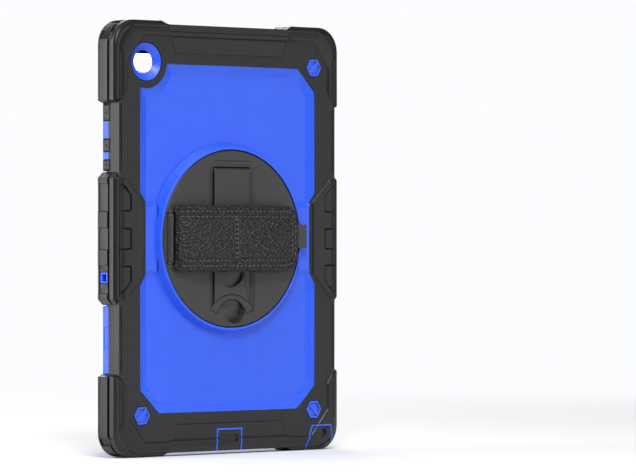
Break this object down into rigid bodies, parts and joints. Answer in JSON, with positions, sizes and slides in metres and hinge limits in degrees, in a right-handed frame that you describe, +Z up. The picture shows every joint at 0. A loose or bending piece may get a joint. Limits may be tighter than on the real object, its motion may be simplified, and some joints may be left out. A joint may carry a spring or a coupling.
{
  "type": "tablet case",
  "caption": "Rugged tablet case with a hard shell, silicone bumper sleeve, swivel disc with folding stand, hand strap and lift-off screen frame.",
  "frame": {"origin": "middle of the bottom of the whole case, standing upright on its lower corner bumpers", "axes": "+X to the right seen from behind, +Y from the back towards the screen, +Z up along the long side"},
  "size_m": [0.192, 0.031, 0.282],
  "materials": {
    "hard_blue": "fine satin moulded",
    "silicone_black": "matte silicone with fine pebble texture on flat areas",
    "hard_black": "fine matte moulded",
    "strap_leather": "pebbled grain, stitched",
    "strap_webbing": "woven",
    "clear_film": "clear flexible film",
    "steel": "plain",
    "slide_white": "low-friction plastic",
    "pad_rubber": "matte"
  },
  "bodies": {
    "case": {"back_shell": "hard_blue", "silicone_sleeve": "silicone_black", "hex_caps": "hard_blue", "carry_lugs": "hard_blue", "swivel_washer": "slide_white", "detent_spring": "steel"},
    "front_frame": {"front_frame": "hard_blue", "screen_film": "clear_film"},
    "swivel": {"swivel_disc": "hard_black", "retainer_plate": "hard_black", "retainer_screws": "steel", "kickstand_pin": "steel", "strap_bar_left": "steel", "strap_bar_right": "steel"},
    "kickstand": {"kickstand_leg": "hard_black", "leg_foot_pad": "pad_rubber"},
    "strap": {"hand_strap": "strap_leather", "strap_lining": "strap_webbing", "strap_tongue": "strap_webbing"},
    "power_key": {"power_key": "silicone_black"},
    "volume_up_key": {"volume_up_key": "silicone_black"},
    "volume_down_key": {"volume_down_key": "silicone_black"},
    "usb_flap": {"usb_flap": "silicone_black"},
    "jack_flap": {"jack_flap": "silicone_black"}
  },
  "joints": [
    {"name": "front_frame_release", "type": "slide", "parent": "case", "child": "front_frame", "axis": [0, 1, 0], "range_m": [0, 0.06]},
    {"name": "disc_spin", "type": "hinge", "parent": "case", "child": "swivel", "pos_m": [0, -0.0015, 0.141], "axis": [0, 1, 0], "continuous": true},
    {"name": "kickstand_fold", "type": "hinge", "parent": "swivel", "child": "kickstand", "pos_m": [0, -0.003, 0.1856], "axis": [-1, 0, 0], "range_deg": [0, 60]},
    {"name": "strap_swing", "type": "hinge", "parent": "swivel", "child": "strap", "pos_m": [-0.0513, -0.0037, 0.141], "axis": [0, 0, -1], "range_deg": [0, 90]},
    {"name": "power_key_press", "type": "slide", "parent": "case", "child": "power_key", "axis": [1, 0, 0], "range_m": [0, 0.0007], "stiffness_N_per_m": 400},
    {"name": "volume_up_key_press", "type": "slide", "parent": "case", "child": "volume_up_key", "axis": [1, 0, 0], "range_m": [0, 0.0007], "stiffness_N_per_m": 400},
    {"name": "volume_down_key_press", "type": "slide", "parent": "case", "child": "volume_down_key", "axis": [1, 0, 0], "range_m": [0, 0.0007], "stiffness_N_per_m": 400},
    {"name": "usb_flap_hinge", "type": "hinge", "parent": "case", "child": "usb_flap", "pos_m": [0, 0.0088, 0.0023], "axis": [1, 0, 0], "range_deg": [0, 100]},
    {"name": "jack_flap_hinge", "type": "hinge", "parent": "case", "child": "jack_flap", "pos_m": [0.078, 0.0088, 0.0005], "axis": [1, 0, 0], "range_deg": [0, 100]}
  ],
  "couplings": [
    {"joint": "strap_swing", "follows": "kickstand_fold", "ratio": 1.5}
  ]
}
